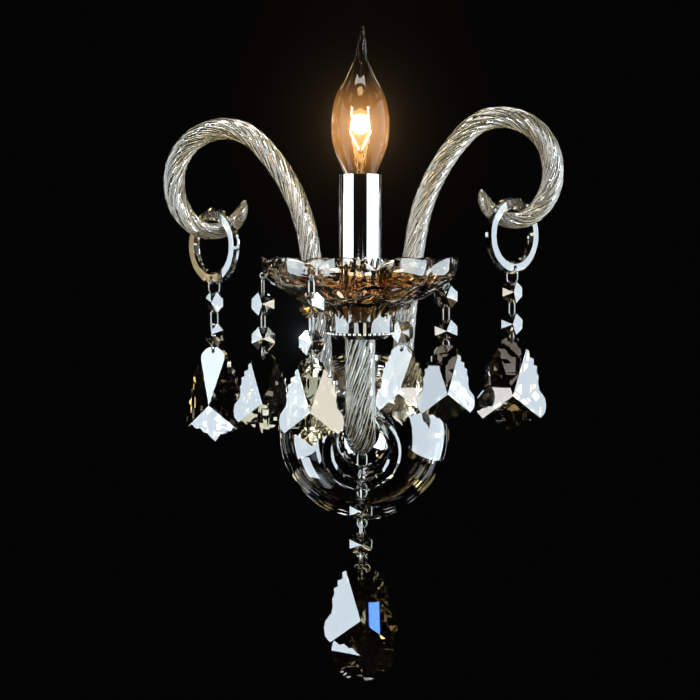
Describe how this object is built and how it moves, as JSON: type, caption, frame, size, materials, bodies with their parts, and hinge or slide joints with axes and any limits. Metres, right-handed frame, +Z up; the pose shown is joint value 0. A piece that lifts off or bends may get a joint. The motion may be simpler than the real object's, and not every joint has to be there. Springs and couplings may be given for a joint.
{
  "type": "crystal wall sconce",
  "caption": "Wall sconce with a candle lamp on a twisted glass arm, glass scrolls, a scalloped amber saucer, glass rings and hanging cut-crystal strings.",
  "frame": {"origin": "on the wall plane, at the centre of the canopy", "axes": "+Y into the wall, -Y towards the room, +X to the right seen from the room, +Z up"},
  "size_m": [0.2616, 0.1794, 0.4142],
  "materials": {
    "zinc_steel": "zinc-plated steel, satin",
    "chrome": "polished mirror chrome",
    "silvered": "silvered cast metal with a beaded edge",
    "washer_rubber": "translucent silicone",
    "clear_glass": "clear champagne glass, polished",
    "amber_glass": "cognac amber pressed glass, polished",
    "ring_glass": "clear cut glass, polished",
    "crystal": "clear cut crystal with a faint champagne tone",
    "wire": "pale gold wire",
    "holder_plastic": "moulded thermoset, ivory",
    "brass": "plain brass",
    "bulb_cap_metal": "rolled aluminium",
    "bulb_glass": "thin clear glass",
    "stem_glass": "clear glass lit by the filament",
    "filament": "glowing filament",
    "wire_insulation": "flexible insulation"
  },
  "bodies": {
    "sconce": {"wall_bracket": "zinc_steel", "bracket_nuts": "zinc_steel", "hub_tube": "zinc_steel", "canopy": "chrome", "dish_washers": "washer_rubber", "wall_dish": "clear_glass", "hub_body": "chrome", "arm_carrier": "chrome", "carrier_stud": "zinc_steel", "hub_finial": "chrome", "scroll_ferrules": "chrome", "ferrule_screws": "zinc_steel", "right_scroll": "clear_glass", "left_scroll": "clear_glass", "lamp_arm_ferrule": "chrome", "lamp_arm": "clear_glass", "arm_cap": "silvered", "glass_cup": "amber_glass", "lamp_tube": "zinc_steel", "bobeche": "amber_glass", "bobeche_pins": "wire", "bobeche_nut": "zinc_steel", "candle_sleeve": "chrome", "lampholder": "holder_plastic", "lampholder_shell": "brass", "lampholder_contact": "brass", "terminal_block": "holder_plastic", "supply_wires": "wire_insulation"},
    "bulb": {"bulb_glass": "bulb_glass", "bulb_cap": "bulb_cap_metal", "bulb_contact": "brass", "bulb_stem": "stem_glass", "bulb_filament": "filament"},
    "left_string": {"left_string_links": "wire", "left_string_beads": "crystal"},
    "left_string_drop": {"left_string_pendant": "crystal"},
    "front_string": {"front_string_links": "wire", "front_string_beads": "crystal"},
    "front_string_drop": {"front_string_pendant": "crystal"},
    "right_string": {"right_string_links": "wire", "right_string_beads": "crystal"},
    "right_string_drop": {"right_string_pendant": "crystal"},
    "rear_string": {"rear_string_links": "wire", "rear_string_beads": "crystal"},
    "rear_string_drop": {"rear_string_pendant": "crystal"},
    "left_ring": {"left_ring": "ring_glass"},
    "left_scroll_string": {"left_scroll_string_links": "wire", "left_scroll_string_beads": "crystal"},
    "left_scroll_string_drop": {"left_scroll_string_pendant": "crystal"},
    "right_ring": {"right_ring": "ring_glass"},
    "right_scroll_string": {"right_scroll_string_links": "wire", "right_scroll_string_beads": "crystal"},
    "right_scroll_string_drop": {"right_scroll_string_pendant": "crystal"},
    "centre_ring": {"centre_ring": "ring_glass"},
    "centre_string": {"centre_string_links": "wire", "centre_string_beads": "crystal"},
    "centre_string_drop": {"centre_string_pendant": "crystal"},
    "hub_string": {"hub_string_links": "wire", "hub_string_beads": "crystal"},
    "hub_string_drop": {"hub_string_pendant": "crystal"}
  },
  "joints": [
    {"name": "bulb_turn", "type": "hinge", "parent": "sconce", "child": "bulb", "pos_m": [0, -0.12, 0.149], "axis": [0, 0, 1], "continuous": true},
    {"name": "left_string_swing", "type": "hinge", "parent": "sconce", "child": "left_string", "pos_m": [-0.05882, -0.11173, 0.1106], "axis": [0.1392, 0.9903, 0], "range_deg": [-9, 20]},
    {"name": "left_string_pendant_swing", "type": "hinge", "parent": "left_string", "child": "left_string_drop", "pos_m": [-0.05882, -0.11173, 0.062], "axis": [-0.0698, -0.9976, 0], "range_deg": [-20, 20]},
    {"name": "front_string_swing", "type": "hinge", "parent": "sconce", "child": "front_string", "pos_m": [-0.02604, -0.17339, 0.1106], "axis": [-0.8988, 0.4384, 0], "range_deg": [-9, 20]},
    {"name": "front_string_pendant_swing", "type": "hinge", "parent": "front_string", "child": "front_string_drop", "pos_m": [-0.02604, -0.17339, 0.0636], "axis": [-0.1045, -0.9945, 0], "range_deg": [-20, 20]},
    {"name": "right_string_swing", "type": "hinge", "parent": "sconce", "child": "right_string", "pos_m": [0.05245, -0.09211, 0.1106], "axis": [0.4695, -0.8829, 0], "range_deg": [-9, 20]},
    {"name": "right_string_pendant_swing", "type": "hinge", "parent": "right_string", "child": "right_string_drop", "pos_m": [0.05245, -0.09211, 0.0658], "axis": [0.1736, -0.9848, 0], "range_deg": [-20, 20]},
    {"name": "rear_string_swing", "type": "hinge", "parent": "sconce", "child": "rear_string", "pos_m": [0.02604, -0.06661, 0.1106], "axis": [0.8988, -0.4384, 0], "range_deg": [-9, 4]},
    {"name": "rear_string_pendant_swing", "type": "hinge", "parent": "rear_string", "child": "rear_string_drop", "pos_m": [0.02604, -0.06661, 0.0636], "axis": [-0.4226, -0.9063, 0], "range_deg": [-20, 20]},
    {"name": "left_ring_swing", "type": "hinge", "parent": "sconce", "child": "left_ring", "pos_m": [-0.09945, -0.04, 0.13945], "axis": [1, 0, 0], "range_deg": [-6, 6]},
    {"name": "left_scroll_string_swing", "type": "hinge", "parent": "left_ring", "child": "left_scroll_string", "pos_m": [-0.09795, -0.04, 0.10865], "axis": [-0.6947, -0.7193, 0], "range_deg": [-12, 12]},
    {"name": "left_scroll_string_pendant_swing", "type": "hinge", "parent": "left_scroll_string", "child": "left_scroll_string_drop", "pos_m": [-0.09795, -0.04, 0.06045], "axis": [-0.4384, -0.8988, 0], "range_deg": [-20, 20]},
    {"name": "right_ring_swing", "type": "hinge", "parent": "sconce", "child": "right_ring", "pos_m": [0.09945, -0.04, 0.14645], "axis": [1, 0, 0], "range_deg": [-6, 6]},
    {"name": "right_scroll_string_swing", "type": "hinge", "parent": "right_ring", "child": "right_scroll_string", "pos_m": [0.09795, -0.04, 0.11565], "axis": [0.6947, -0.7193, 0], "range_deg": [-12, 12]},
    {"name": "right_scroll_string_pendant_swing", "type": "hinge", "parent": "right_scroll_string", "child": "right_scroll_string_drop", "pos_m": [0.09795, -0.04, 0.06745], "axis": [0.0698, -0.9976, 0], "range_deg": [-20, 20]},
    {"name": "centre_ring_swing", "type": "hinge", "parent": "sconce", "child": "centre_ring", "pos_m": [0, -0.095, 0.0095], "axis": [0, 1, 0], "range_deg": [-20, 20]},
    {"name": "centre_string_swing", "type": "hinge", "parent": "centre_ring", "child": "centre_string", "pos_m": [0, -0.095, -0.0191], "axis": [0, 1, 0], "range_deg": [-15, 15]},
    {"name": "centre_string_pendant_swing", "type": "hinge", "parent": "centre_string", "child": "centre_string_drop", "pos_m": [0, -0.095, -0.0673], "axis": [0, -1, 0], "range_deg": [-20, 20]},
    {"name": "hub_string_swing", "type": "hinge", "parent": "sconce", "child": "hub_string", "pos_m": [0, -0.0552, -0.0046], "axis": [1, 0, 0], "range_deg": [-8, 12]},
    {"name": "hub_string_pendant_swing", "type": "hinge", "parent": "hub_string", "child": "hub_string_drop", "pos_m": [0, -0.0552, -0.0961], "axis": [0, -1, 0], "range_deg": [-20, 20]}
  ]
}
